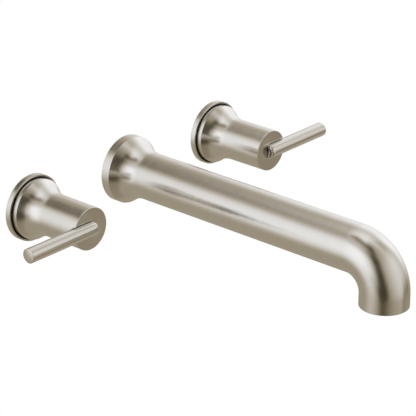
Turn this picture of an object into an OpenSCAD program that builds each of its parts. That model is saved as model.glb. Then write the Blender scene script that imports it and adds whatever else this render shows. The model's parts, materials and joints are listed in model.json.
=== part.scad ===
// Wall mounted bath faucet: a long spout between two quarter-turn lever handles.
//
// Frame: X runs right along the wall, Y runs into the wall, Z is up, in millimetres.
// The origin is the centre of the spout's flange on the finished wall, so the wall is Y = 0.
// Every piece is drawn on its own axis in a local frame whose z points out of the wall and
// whose y is up; on_wall() stands it in its place. The cold side is drawn, the hot side is
// its mirror image. At rest both levers point outwards, which is closed.

/* [Layout] */
// Distance from the spout's axis to each handle's axis
handle_offset = 101.6; // [75:0.1:130]
// Curve quality of round pieces
facets = 96; // [48:8:160]

/* [Escutcheon] */
// Outer radius of the round cup against the wall
cup_r = 25.8; // [22:0.1:32]
// Depth of the cup from the wall to its lip
cup_depth = 4.4; // [4:0.05:8]
// Thickness of the cup's lip
cup_lip = 1.3; // [0.6:0.1:2]
// Thickness of the cup's floor
cup_floor = 2.0; // [1.8:0.1:4]

/* [Handle body] */
// Radius of the round barrel
barrel_r = 16.4; // [12:0.1:20]
// Distance of the barrel's flat face from the wall
face_z = 62.35; // [50:0.05:80]
// Radius of the flared rim inside the cup
rim_r = 23.4; // [19:0.1:24]
// Distance of the rim's back edge from the wall
rim_back = 3.1; // [3:0.1:5]
// Distance of the rim's front edge from the wall
rim_front = 8.8; // [6:0.1:10]
// Angle of the flare at the rim, from the axis
flare_angle = 35.0; // [25:0.1:45]
// Radius of the concave curve that runs into the barrel
flare_r = 27.0; // [20:0.1:36]
// Wall thickness of the barrel and the flare
shell = 2.2; // [1.5:0.1:3]
// Chamfer round the barrel's face
face_chamfer = 0.4; // [0.1:0.05:1]
// Rounding along the mouth of the lever's trough
trough_round = 1.1; // [0.3:0.1:1.5]
// Distance of the cavity's closed end from the wall
cavity_z = 50; // [44:0.5:54]

/* [Lever] */
// Radius of the lever's round rod
lever_r = 5.6; // [4:0.1:7]
// Distance of the rod's axis from the wall
lever_z = 62.6; // [55:0.1:75]
// Reach of the rod's tip from the handle's axis
lever_reach = 63.3; // [50:0.1:90]
// Length of the rod on the other side of the handle's axis
lever_tail = 3.6; // [1:0.1:5]
// Gap between the rod and the trough that it lies in
lever_gap = 0.3; // [0.2:0.05:1.5]
// Edge break at the rod's tip
lever_edge = 0.6; // [0.3:0.1:1.5]
// Rounding of the rod's end over the handle's axis
lever_round = 2.0; // [0.5:0.1:4]
// Radius of the spigot under the rod
spigot_r = 3.2; // [2:0.1:4]
// Distance of the spigot from the handle's axis
spigot_x = 6; // [3:0.5:9]

/* [Valve] */
// Outer radius of the valve body in front of the wall
sleeve_r = 10.2; // [9:0.1:13]
// Outer radius of the threaded stub behind the wall
stub_r = 10.48; // [9:0.01:13]
// How far the valve body reaches behind the finished wall
sleeve_back = 10; // [6:0.5:12]
// Radius of the rotating stem where it runs in its housing
stem_r = 4.4; // [3.5:0.1:5]
// Radial running clearance of the stem
stem_play = 0.05; // [0.02:0.01:0.1]
// Number of splines on the stem
spline_n = 16; // [12:1:24]
// Travel of the handle between its stops, in degrees
travel = 90; // [80:1:100]
// Angle of the stop tab
tab_angle = 50; // [30:1:60]

/* [Spout] */
// Radius of the spout's round tube
tube_r = 18.4; // [14:0.1:22]
// Reach of the spout from the wall
spout_reach = 271.9; // [180:0.1:320]
// Drop from the tube's axis to the outlet's plane
outlet_drop = 36.1; // [30:0.1:60]
// Radius of the bend, on the tube's centre line
bend_r = 26.8; // [24:0.1:40]
// Radius of the flange against the wall
flange_r = 26.5; // [22:0.1:32]
// Depth of the flange's straight rim
flange_rim = 7.5; // [4:0.1:10]
// Angle of the flange's flare, from the axis
spout_flare_angle = 33.1; // [25:0.1:45]
// Radius of the concave curve that runs into the tube
spout_flare_r = 17.3; // [10:0.1:30]
// Wall thickness of the spout
spout_wall = 2.2; // [1.5:0.1:3]
// Radius of the female pipe thread that takes the wall nipple
pipe_r = 9.3; // [8:0.1:11]
// Depth of the female pipe thread
pipe_depth = 14; // [10:0.5:16]
// Distance of the fixing screw from the wall
fix_z = 29; // [28:0.5:31]

/* [Outlet] */
// Depth of the recess in front of the flow straightener
mouth_depth = 5.2; // [4.5:0.1:8]
// Width of the straightener's honeycomb cells
cell = 2.5; // [2:0.1:3]
// Pitch of the honeycomb cells
cell_pitch = 3.0; // [2.6:0.1:3.6]
// Pitch of the openings in the screen
screen_pitch = 2.2; // [1.8:0.1:3]

/* [Hidden] */
$fn = facets;
nickel = [0.66, 0.63, 0.58];
brass = [0.76, 0.60, 0.32];
steel = [0.60, 0.61, 0.63];
rubber = [0.07, 0.07, 0.07];
black = [0.05, 0.05, 0.05];
ceramic = [0.88, 0.88, 0.86];
white = [0.90, 0.90, 0.89];

// Valve column, distances in front of the wall
floor_z = -7;
disc_z = -5;
disc_t = 2.5;
disc_gap = 0.02;
chamber_z = 0;
thrust_z = 9;
seat_z = 20;
neck_z = 22;
stop_z = 24;
neck_top = 27;
spline_z = 30.6;
stem_top = 42;
hub_z = 31;
hub_top = 46;
groove_z = 38;
bore_r = sleeve_r - 1.5;
chamber_r = 6.9;
disc_r = 6.6;
neck_r = 7.5;
oring_z = 13;
stem_oring_z = 16.5;
spline_r = 4.0;
spline_root = 3.6;
hub_r = barrel_r - shell - 0.2;
groove_r = hub_r - 1.4;
trough_r = lever_r + lever_gap;
spigot_foot = cavity_z + 2;

// Spout, distances in front of the wall
cl_end = spout_reach - tube_r - bend_r;
tube_in = tube_r - spout_wall;
adapter_r = 14.0;
adapter_end = 38;
socket_z = 12;
seam_z = 25.2;
socket_end = 41;
outlet_r = tube_in - 0.05;
housing_in = 13.6;
mouth_z = outlet_drop - mouth_depth;

// ---------------------------------------------------------------- helpers

// Stands a piece drawn with z out of the wall on the wall at x.
module on_wall(x = 0) {
  translate([x, 0, 0]) rotate([90, 0, 0]) children();
}

// A handle's place: side 1 is cold, on the right; side -1 is its mirror image.
module at_handle(side) {
  on_wall(side * handle_offset)
    if (side > 0) children();
    else mirror([1, 0, 0]) children();
}

// A plain ring from z0 to z1.
module ring(r_out, r_in, z0, z1) {
  translate([0, 0, z0])
    difference() {
      cylinder(r = r_out, h = z1 - z0);
      translate([0, 0, -1]) cylinder(r = r_in, h = z1 - z0 + 2);
    }
}

// An O-ring whose section has radius r_wire.
module oring(r_centre, r_wire, z) {
  translate([0, 0, z])
    rotate_extrude()
      translate([r_centre, 0]) circle(r = r_wire, $fn = 32);
}

// A wedge between two angles, for cutting ports and windows.
module wedge(a0, a1, r, z0, z1) {
  n = 8;
  translate([0, 0, z0])
    linear_extrude(height = z1 - z0)
      polygon(concat([[0, 0]], [for (i = [0:n])
        let (a = a0 + (a1 - a0) * i / n) [r * cos(a), r * sin(a)]]));
}

// A sector of a ring, bounded by true cylinders.
module ring_sector(r_out, r_in, a0, a1, z0, z1) {
  intersection() {
    ring(r_out, r_in, z0, z1);
    wedge(a0, a1, r_out * 2, z0 - 1, z1 + 1);
  }
}

// A hexagon nut body with a round hole.
module hex_nut(across, r_in, z0, z1) {
  translate([0, 0, z0])
    difference() {
      rotate([0, 0, 30]) cylinder(r = across / sqrt(3), h = z1 - z0, $fn = 6);
      translate([0, 0, -1]) cylinder(r = r_in, h = z1 - z0 + 2);
    }
}

// A headless screw with a hexagon socket in its far end, along z from z0 to z1.
module grub_screw(r, socket, depth, z0, z1) {
  difference() {
    union() {
      translate([0, 0, z0 + r * 0.4]) cylinder(r = r, h = z1 - z0 - r * 0.4);
      translate([0, 0, z0]) cylinder(r1 = r * 0.6, r2 = r, h = r * 0.4);
    }
    translate([0, 0, z1 - depth]) cylinder(r = socket / sqrt(3), h = depth + 1, $fn = 6);
  }
}

// Points of a concave flare that is tangent to a tube of radius r at height z_end.
// They run from the rim towards the tube; grow offsets the curve into the wall.
function flare_points(r, z_end, curve_r, angle, grow = 0, n = 14) =
  [for (i = [0:n]) let (a = angle * (1 - i / n))
    [r + curve_r - (curve_r + grow) * cos(a), z_end - (curve_r + grow) * sin(a)]];

// Height at which a flare meets its tube.
function flare_end(r_rim, z_rim, r, curve_r, angle) =
  z_rim + (r_rim - r - curve_r * (1 - cos(angle))) / tan(angle) + curve_r * sin(angle);

handle_flare_end = flare_end(rim_r, rim_front, barrel_r, flare_r, flare_angle);
spout_flare_end = flare_end(flange_r, flange_rim, tube_r, spout_flare_r, spout_flare_angle);

// ---------------------------------------------------------------- escutcheon

module escutcheon(side) {
  color(nickel) at_handle(side)
    rotate_extrude()
      polygon([
        [sleeve_r + 0.2, 0], [17, 0], [17, 1.2], [22.6, 1.2], [22.6, 0],
        [cup_r - 0.2, 0], [cup_r, 0.2], [cup_r, cup_depth - 0.25],
        [cup_r - 0.25, cup_depth], [cup_r - cup_lip + 0.15, cup_depth],
        [cup_r - cup_lip, cup_depth - 0.15], [cup_r - cup_lip, cup_floor],
        [sleeve_r + 0.2, cup_floor]
      ]);
}

module wall_gasket(side) {
  color(rubber) at_handle(side) ring(22.5, 17.1, 0, 1.2);
}

// Black ring that lines the cup's floor under the turning rim.
module glide_ring(side) {
  color(black) at_handle(side) ring(cup_r - cup_lip - 0.1, 16.2, cup_floor, 2.8);
}

module lock_nut(side) {
  color(brass) at_handle(side) hex_nut(27, sleeve_r + 0.05, cup_floor, 7);
}

// ---------------------------------------------------------------- valve, fixed pieces

// Front end of the valve: inlet in the middle of its back, outlet holes round it.
module valve_sleeve(side) {
  color(brass) at_handle(side)
    difference() {
      union() {
        translate([0, 0, -1]) cylinder(r = sleeve_r, h = seat_z + 1);
        translate([0, 0, -sleeve_back + 0.8]) cylinder(r = stub_r, h = sleeve_back - 0.8);
        translate([0, 0, -sleeve_back]) cylinder(r1 = stub_r - 0.8, r2 = stub_r, h = 0.8);
      }
      translate([0, 0, floor_z]) cylinder(r = bore_r, h = seat_z - floor_z + 1);
      translate([0, 0, -sleeve_back - 1]) cylinder(r = 4, h = sleeve_back + 1);
      for (i = [0:5]) rotate([0, 0, i * 60])
        translate([7.2, 0, -sleeve_back - 1]) cylinder(r = 1.1, h = sleeve_back + 1, $fn = 32);
    }
}

module seat_seal(side) {
  color(rubber) at_handle(side) ring(5.9, 4.1, floor_z, disc_z);
}

// Bow-tie ports of the two ceramic discs, turned to the given angle.
module ports(angle, z0, z1) {
  for (a = [0, 180])
    ring_sector(5.4, 1.9, a + angle - 40, a + angle + 40, z0, z1);
}

module fixed_disc(side) {
  color(ceramic) at_handle(side)
    difference() {
      translate([0, 0, disc_z]) cylinder(r = chamber_r - 0.1, h = disc_t);
      ports(0, disc_z - 1, disc_z + disc_t + 1);
    }
}

module cartridge_body(side) {
  color(brass) at_handle(side)
    difference() {
      union() {
        translate([0, 0, disc_z]) cylinder(r = bore_r - 1, h = thrust_z - 0.8 - disc_z);
        difference() {
          translate([0, 0, thrust_z - 0.8]) cylinder(r = bore_r - 0.1, h = seat_z - thrust_z + 0.8);
          ring(bore_r + 1, bore_r - 2, oring_z - 1.1, oring_z + 1.1);
        }
        translate([0, 0, seat_z]) cylinder(r = sleeve_r - 0.3, h = neck_z - seat_z);
        translate([0, 0, neck_z]) cylinder(r = neck_r, h = stop_z - neck_z);
        translate([0, 0, stop_z]) cylinder(r = neck_r, h = neck_top - stop_z);
      }
      translate([0, 0, disc_z - 1]) cylinder(r = chamber_r, h = thrust_z - disc_z + 1);
      translate([0, 0, thrust_z - 1]) cylinder(r = stem_r + stem_play, h = neck_top - thrust_z + 2);
      // window that the stop tab swings in
      wedge(180 - travel - tab_angle / 2 - 1, 180 + tab_angle / 2 + 1, 20, stop_z, neck_top + 1);
      // side outlets of the water chamber
      for (a = [0, 180]) wedge(a - 35, a + 35, 20, 1, 6);
    }
}

module body_oring(side) {
  color(rubber) at_handle(side) oring(bore_r - 1, 1, oring_z);
}

module bonnet_nut(side) {
  color(brass) at_handle(side)
    difference() {
      hex_nut(23.4, neck_r + 0.2, 12, stop_z);
      translate([0, 0, 11]) cylinder(r = sleeve_r + 0.05, h = neck_z - 11);
    }
}

// ---------------------------------------------------------------- valve, turning pieces

module moving_disc(side) {
  color(ceramic) at_handle(side)
    difference() {
      translate([0, 0, disc_z + disc_t + disc_gap])
        cylinder(r = disc_r, h = chamber_z - disc_z - disc_t - disc_gap);
      ports(90, disc_z, 1);
      translate([-20, -1, -1.2]) cube([40, 2, 5]);
    }
}

module spline_2d(grow = 0) {
  circle(r = spline_root + grow);
  for (i = [0:spline_n - 1]) rotate([0, 0, i * 360 / spline_n])
    translate([spline_root - 0.4, -0.38 - grow])
      square([spline_r - spline_root + 0.4 + grow, 0.76 + 2 * grow]);
}

module stem(side) {
  color(brass) at_handle(side)
    difference() {
      union() {
        // tang in the moving disc's slot
        intersection() {
          translate([-20, -0.95, -1.15]) cube([40, 1.9, 1.4]);
          translate([0, 0, -1.15]) cylinder(r = 6.3, h = 1.4);
        }
        translate([0, 0, 0.1]) cylinder(r = 3, h = 7);
        translate([0, 0, 7]) cylinder(r = 6.5, h = thrust_z - 0.1 - 7);
        difference() {
          translate([0, 0, thrust_z - 0.2]) cylinder(r = stem_r, h = stop_z + 0.2 - thrust_z + 0.2);
          ring(stem_r + 1, 2.6, stem_oring_z - 1, stem_oring_z + 1);
        }
        // two flats that carry the stop ring
        intersection() {
          translate([0, 0, stop_z]) cylinder(r = spline_r, h = spline_z - stop_z);
          translate([-10, -3.2, stop_z]) cube([20, 6.4, spline_z - stop_z]);
        }
        translate([0, 0, spline_z]) linear_extrude(height = stem_top - spline_z) spline_2d();
      }
      ring(8, 3, 28.55, 29.45);
      translate([0, 0, 33]) cylinder(r = 1.65, h = 10);
    }
}

module stem_oring(side) {
  color(rubber) at_handle(side) oring(3.5, 0.9, stem_oring_z);
}

// Plate on the stem's flats with a tab that meets the housing at each end of the travel.
module stop_ring(side) {
  color(steel) at_handle(side)
    difference() {
      union() {
        translate([0, 0, 27.3]) cylinder(r = 7.3, h = 1.2);
        ring_sector(7.3, 5.2, 180 - tab_angle / 2, 180 + tab_angle / 2, 24.2, 27.4);
      }
      intersection() {
        translate([0, 0, 26]) cylinder(r = spline_r + 0.06, h = 5);
        translate([-10, -3.26, 26]) cube([20, 6.52, 5]);
      }
    }
}

module retaining_clip(side) {
  color(steel) at_handle(side)
    difference() {
      ring(6.4, 3.06, 28.6, 29.4);
      wedge(60, 120, 20, 28, 30);
    }
}

// Splined coupling that the handle slides over.
module hub(side) {
  color(brass) at_handle(side)
    difference() {
      union() {
        translate([0, 0, hub_z]) cylinder(r = 8, h = 2);
        difference() {
          translate([0, 0, hub_z + 2]) cylinder(r = hub_r, h = hub_top - hub_z - 2);
          ring(hub_r + 2, groove_r, groove_z - 2.2, groove_z + 2.2);
        }
      }
      translate([0, 0, hub_z - 1]) linear_extrude(height = 12.5) spline_2d(0.06);
      translate([0, 0, hub_z]) cylinder(r = 2.1, h = 20);
      translate([0, 0, 44]) cylinder(r = 4.2, h = 10);
      // three lightening holes
      for (a = [90, 210, 330]) rotate([0, 0, a]) translate([8.3, 0, hub_z]) cylinder(r = 2.2, h = 20);
    }
}

module hub_screw(side) {
  color(steel) at_handle(side)
    difference() {
      union() {
        translate([0, 0, 34]) cylinder(r = 1.6, h = 10.2);
        translate([0, 0, 44]) cylinder(r = 3.6, h = 2.2);
      }
      for (a = [0, 90]) rotate([0, 0, a]) translate([-2, -0.35, 45]) cube([4, 0.7, 5]);
    }
}

// Half of the trough's rounded mouth: distance from its middle, distance from the wall.
function mouth_points(n = 6) =
  let (z0 = face_z - trough_round, r0 = sqrt(pow(trough_r, 2) - pow(lever_z - z0, 2)))
  concat([for (i = [0:n]) let (a = 90 * i / n)
    [r0 + trough_round * (1 - cos(a)), z0 + trough_round * sin(a)]],
    [[r0 + trough_round, face_z + 1], [0, face_z + 1], [0, z0]]);

// Rounding of the trough's edge where it meets the barrel's face.
module trough_mouth() {
  rotate_extrude() polygon(mouth_points());
  rotate([90, 0, 90]) linear_extrude(height = 40) {
    polygon(mouth_points());
    mirror([1, 0]) polygon(mouth_points());
  }
}

// Barrel with a flared rim, closed at the front, with the lever's trough across its face.
module handle_body(side) {
  color(nickel) at_handle(side)
    difference() {
      rotate_extrude()
        polygon(concat(
          [[0, rim_back], [rim_r - 0.2, rim_back], [rim_r, rim_back + 0.2],
           [rim_r, rim_front - 0.12]],
          [[rim_r - 0.12, rim_front + 0.06]],
          flare_points(barrel_r, handle_flare_end, flare_r, flare_angle),
          [[barrel_r, face_z - face_chamfer], [barrel_r - face_chamfer, face_z], [0, face_z]]
        ));
      // hollow inside
      rotate_extrude()
        polygon(concat(
          [[0, rim_back - 1], [rim_r - shell, rim_back - 1], [rim_r - shell, rim_front - 0.8]],
          flare_points(barrel_r, handle_flare_end, flare_r, 34, shell),
          [[barrel_r - shell, cavity_z], [0, cavity_z]]
        ));
      // trough with a rounded inner end and a rounded mouth
      translate([0, 0, lever_z]) sphere(r = trough_r);
      translate([0, 0, lever_z]) rotate([0, 90, 0]) cylinder(r = trough_r, h = 40);
      trough_mouth();
      // seat of the lever's spigot and the hole of its screw
      translate([spigot_x, 0, spigot_foot]) cylinder(r = spigot_r + 0.05, h = 10);
      translate([spigot_x, 0, cavity_z - 1]) cylinder(r = 1.7, h = 8);
      // fixing screw hole on the underside
      translate([0, 0, groove_z]) rotate([90, 0, 0]) cylinder(r = 2.05, h = 30);
    }
}

module set_screw(side) {
  color(steel) at_handle(side)
    translate([0, 0, groove_z]) rotate([90, 0, 0])
      grub_screw(2, 2, 1.6, groove_r, barrel_r - 0.6);
}

// Round rod that lies in the barrel's face, on a spigot with a screw from inside.
module lever(side) {
  color(nickel) at_handle(side)
    difference() {
      union() {
        translate([0, 0, lever_z]) rotate([0, 90, 0])
          rotate_extrude()
            polygon(concat([[0, -lever_tail]],
              [for (a = [0:15:90])
                [lever_r - lever_round * (1 - sin(a)), -lever_tail + lever_round * (1 - cos(a))]],
              [[lever_r, lever_reach - lever_edge],
               [lever_r - lever_edge * 0.3, lever_reach - lever_edge * 0.3],
               [lever_r - lever_edge, lever_reach], [0, lever_reach]]));
        translate([spigot_x, 0, spigot_foot]) cylinder(r = spigot_r, h = lever_z - spigot_foot);
      }
      translate([spigot_x, 0, spigot_foot - 1]) cylinder(r = 1.65, h = 10);
    }
}

module lever_screw(side) {
  color(steel) at_handle(side)
    difference() {
      union() {
        translate([spigot_x, 0, cavity_z - 0.1]) cylinder(r = 1.6, h = 10.5);
        translate([spigot_x, 0, cavity_z - 2.2]) cylinder(r = 3, h = 2.2);
      }
      translate([spigot_x, 0, cavity_z - 3]) cylinder(r = 1.25, h = 2.2, $fn = 6);
    }
}

// ---------------------------------------------------------------- spout

// Solid of the tube, its bend and its outlet, for the outside and the bore.
module spout_run(r, z_start, drop) {
  translate([0, 0, z_start]) cylinder(r = r, h = cl_end - z_start);
  translate([0, -bend_r, cl_end]) rotate([90, 0, 90])
    rotate_extrude(angle = 90) translate([bend_r, 0]) circle(r = r);
  translate([0, -bend_r, cl_end + bend_r]) rotate([90, 0, 0]) cylinder(r = r, h = drop - bend_r);
}

// Flange with its concave flare, up to the seam where the tube is brazed on.
module spout_flange() {
  color(nickel) on_wall()
    difference() {
      rotate_extrude()
        polygon(concat(
          [[0, 0], [flange_r - 0.2, 0], [flange_r, 0.2], [flange_r, flange_rim - 0.12],
           [flange_r - 0.12, flange_rim + 0.06]],
          flare_points(tube_r, spout_flare_end, spout_flare_r, spout_flare_angle),
          [[tube_r, seam_z], [0, seam_z]]
        ));
      rotate_extrude()
        polygon(concat(
          [[0, -1], [23.6, -1], [23.6, 2], [21.6, 2], [21.6, 11]],
          flare_points(tube_r, spout_flare_end, spout_flare_r, spout_flare_angle, spout_wall),
          [[tube_in, seam_z + 1], [0, seam_z + 1]]
        ));
    }
}

// Bent tube from the seam to the outlet.
module spout_tube() {
  color(nickel) on_wall()
    difference() {
      spout_run(tube_r, seam_z, outlet_drop);
      spout_run(tube_in, seam_z - 1, outlet_drop + 1);
      translate([0, 0, fix_z]) rotate([90, 0, 0]) cylinder(r = 2.55, h = 30);
    }
}

module spout_gasket() {
  color(rubber) on_wall() ring(23.5, 19.6, 0, 2);
}

// Brazed brass socket that slides over the adapter.
module spout_socket() {
  color(brass) on_wall()
    difference() {
      translate([0, 0, socket_z]) cylinder(r = tube_in - 0.05, h = socket_end - socket_z);
      translate([0, 0, socket_z - 1]) cylinder(r = adapter_r + 0.1, h = socket_end - socket_z - 1.5);
      translate([0, 0, socket_z]) cylinder(r = 8.5, h = 40);
      translate([0, 0, fix_z]) rotate([90, 0, 0]) cylinder(r = 2.55, h = 30);
    }
}

// Screws on the pipe nipple that comes out of the wall.
module spout_adapter() {
  color(brass) on_wall()
    difference() {
      union() {
        translate([0, 0, 0.4]) rotate([0, 0, 30]) cylinder(r = 32 / sqrt(3), h = 5.6, $fn = 6);
        translate([0, 0, 5.5]) cylinder(r = adapter_r, h = adapter_end - 5.5);
      }
      translate([0, 0, -1]) cylinder(r = pipe_r, h = pipe_depth + 1.4);
      translate([0, 0, 5]) cylinder(r = 7.5, h = 40);
      for (z = [18, 35]) ring(adapter_r + 1, 11.5, z - 1.4, z + 1.4);
      ring(adapter_r + 1, adapter_r - 0.8, fix_z - 2.8, fix_z + 2.8);
    }
}

module adapter_oring(z) {
  color(rubber) on_wall() oring(12.8, 1.3, z);
}

module spout_set_screw() {
  color(steel) on_wall()
    translate([0, 0, fix_z]) rotate([90, 0, 0])
      grub_screw(2.5, 2.5, 2.2, adapter_r - 0.8, tube_r - 0.8);
}

// ---------------------------------------------------------------- outlet

// Stands a piece drawn with z downwards on the outlet's axis.
module at_outlet() {
  on_wall() translate([0, 0, cl_end + bend_r]) rotate([90, 0, 0]) children();
}

module outlet_housing() {
  color(black) at_outlet()
    difference() {
      ring(outlet_r, housing_in, outlet_drop - 11, outlet_drop - 0.6);
      ring(outlet_r + 1, 14.4, outlet_drop - 8.9, outlet_drop - 7.1);
    }
}

module outlet_oring() {
  color(rubber) at_outlet() oring(15.3, 0.85, outlet_drop - 8);
}

module screen_2d() {
  n = ceil(12.6 / screen_pitch);
  difference() {
    circle(r = housing_in - 0.1);
    for (i = [-n:n]) for (j = [-n:n])
      if (norm([i, j]) * screen_pitch < 11.6)
        translate([i * screen_pitch - 0.7, j * screen_pitch - 0.7]) square(1.4);
  }
}

module outlet_screen() {
  color(steel) at_outlet()
    translate([0, 0, mouth_z - 4.8]) linear_extrude(height = 0.5) screen_2d();
}

module comb_2d() {
  n = ceil(14 / cell_pitch);
  difference() {
    circle(r = housing_in - 0.1);
    for (i = [-n:n]) for (j = [-n:n])
      let (x = (i + j / 2) * cell_pitch, y = j * cell_pitch * sqrt(3) / 2)
        if (norm([x, y]) < 11.6)
          translate([x, y]) rotate([0, 0, 30]) circle(r = cell / sqrt(3), $fn = 6);
  }
}

module flow_straightener() {
  color(white) at_outlet()
    translate([0, 0, mouth_z - 4]) linear_extrude(height = 4) comb_2d();
}

// ---------------------------------------------------------------- nodes

spout_flange();
spout_tube();
spout_gasket();
spout_socket();
spout_adapter();
adapter_oring(18);  // adapter_oring_rear
adapter_oring(35);  // adapter_oring_front
spout_set_screw();
outlet_housing();
outlet_oring();
outlet_screen();
flow_straightener();

escutcheon(-1);  // hot_escutcheon
wall_gasket(-1);  // hot_wall_gasket
glide_ring(-1);  // hot_glide_ring
lock_nut(-1);  // hot_lock_nut
valve_sleeve(-1);  // hot_valve_sleeve
seat_seal(-1);  // hot_seat_seal
fixed_disc(-1);  // hot_fixed_disc
cartridge_body(-1);  // hot_cartridge_body
body_oring(-1);  // hot_body_oring
bonnet_nut(-1);  // hot_bonnet_nut
moving_disc(-1);  // hot_moving_disc
stem(-1);  // hot_stem
stem_oring(-1);  // hot_stem_oring
stop_ring(-1);  // hot_stop_ring
retaining_clip(-1);  // hot_retaining_clip
hub(-1);  // hot_hub
hub_screw(-1);  // hot_hub_screw
handle_body(-1);  // hot_handle_body
set_screw(-1);  // hot_set_screw
lever(-1);  // hot_lever
lever_screw(-1);  // hot_lever_screw

escutcheon(1);  // cold_escutcheon
wall_gasket(1);  // cold_wall_gasket
glide_ring(1);  // cold_glide_ring
lock_nut(1);  // cold_lock_nut
valve_sleeve(1);  // cold_valve_sleeve
seat_seal(1);  // cold_seat_seal
fixed_disc(1);  // cold_fixed_disc
cartridge_body(1);  // cold_cartridge_body
body_oring(1);  // cold_body_oring
bonnet_nut(1);  // cold_bonnet_nut
moving_disc(1);  // cold_moving_disc
stem(1);  // cold_stem
stem_oring(1);  // cold_stem_oring
stop_ring(1);  // cold_stop_ring
retaining_clip(1);  // cold_retaining_clip
hub(1);  // cold_hub
hub_screw(1);  // cold_hub_screw
handle_body(1);  // cold_handle_body
set_screw(1);  // cold_set_screw
lever(1);  // cold_lever
lever_screw(1);  // cold_lever_screw
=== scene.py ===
# %% [markdown]
# # A wall mounted bath faucet in brushed nickel
#
# A bath faucet of this kind is three separate fittings on one wall: a long spout in the
# middle and a lever handle on each side. Inside each handle a brass valve with two
# ceramic discs opens in a quarter turn. The parts that show are brass, turned or bent,
# plated with nickel and brushed with an abrasive belt.
#
# The engineering model gives every piece its true size and place, so it is loaded first
# as a fixed frame. It could be shown as it is, but its curved outsides are cut into flat
# bands for the machinist's file. The pieces that the eye rests on are therefore turned
# again here, finely, to the same outer sizes, and the hidden pieces keep their mesh and
# only receive a finish. One curve isn't the engineering model's: the spout's flare.

# %% Load the frame
import json
import math

import bmesh
import bpy
from mathutils import Matrix, Vector


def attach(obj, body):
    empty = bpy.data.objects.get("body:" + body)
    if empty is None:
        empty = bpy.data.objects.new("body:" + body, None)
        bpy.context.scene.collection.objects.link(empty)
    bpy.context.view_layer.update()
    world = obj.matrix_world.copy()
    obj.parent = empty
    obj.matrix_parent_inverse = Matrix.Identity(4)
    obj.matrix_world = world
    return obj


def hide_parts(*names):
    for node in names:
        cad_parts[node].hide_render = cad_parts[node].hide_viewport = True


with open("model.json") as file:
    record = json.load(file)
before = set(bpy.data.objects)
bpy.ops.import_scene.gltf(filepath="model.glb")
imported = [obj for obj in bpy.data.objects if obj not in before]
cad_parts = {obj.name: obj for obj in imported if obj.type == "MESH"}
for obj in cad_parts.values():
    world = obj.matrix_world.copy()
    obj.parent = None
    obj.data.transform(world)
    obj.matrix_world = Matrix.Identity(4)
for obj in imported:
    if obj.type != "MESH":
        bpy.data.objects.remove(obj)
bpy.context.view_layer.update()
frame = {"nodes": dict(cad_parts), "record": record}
parts = frame["nodes"]
print("pieces in the frame:", len(parts))

# %% [markdown]
# ## The camera
#
# A long lens from far away keeps both handles nearly the same size, as a catalogue
# picture of a faucet does. The camera stands in front, to the left and above, and it
# looks along one line given by two angles: how far it has walked round the faucet and
# how far it has risen. A camera looks along its own minus Z, so the direction back to
# the camera is turned into its rotation. Its lens, place and angles weren't chosen by
# hand: a separate program worked them out by matching the faucet's outline.

# %% Place the camera
def toward(azimuth, elevation):
    """Direction from the faucet to a viewer, 0 degrees in front and positive to the right."""
    a, e = math.radians(azimuth), math.radians(elevation)
    return Vector((math.sin(a) * math.cos(e), -math.cos(a) * math.cos(e), math.sin(e)))


lens = bpy.data.cameras.new("viewer")
lens.sensor_width = 36
lens.lens = 181.9
viewer = bpy.data.objects.new("viewer", lens)
viewer.location = (-1.08665, -1.05129, 0.62454)
viewer.rotation_mode = "QUATERNION"
viewer.rotation_quaternion = (-toward(-48.386, 23.572)).to_track_quat("-Z", "Y")
bpy.context.collection.objects.link(viewer)
bpy.context.scene.camera = viewer
bpy.context.scene.view_settings.view_transform = "Standard"
print("camera distance in m:", round(viewer.location.length, 3))

# %% [markdown]
# ## Node trees as Python expressions
#
# Finishes and lights below are small formulas, such as a soft edge or a ring pattern.
# Wiring every addition by hand hides the formula, so a `Field` wraps one socket and
# answers to + - * / with a Math node. A `Bench` is a node tree with one method that adds
# any other node: its type, its settings, then the values or links of its sockets.

# %% Field and Bench
class Field:
    """One output socket that can stand in a Python expression."""

    def __init__(self, bench, socket):
        self.bench, self.socket = bench, socket

    def also(self, name):
        """Another output of the node that made this one."""
        outputs = self.socket.node.outputs
        return Field(self.bench, next(s for s in outputs if s.name == name and s.enabled))

    def __add__(self, other):
        return self.bench.math("ADD", self, other)

    def __sub__(self, other):
        return self.bench.math("SUBTRACT", self, other)

    def __rsub__(self, other):
        return self.bench.math("SUBTRACT", other, self)

    def __mul__(self, other):
        return self.bench.math("MULTIPLY", self, other)

    def __truediv__(self, other):
        return self.bench.math("DIVIDE", self, other)

    def __rtruediv__(self, other):
        return self.bench.math("DIVIDE", other, self)

    def __neg__(self):
        return self.bench.math("MULTIPLY", self, -1.0)

    __radd__, __rmul__ = __add__, __mul__


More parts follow.
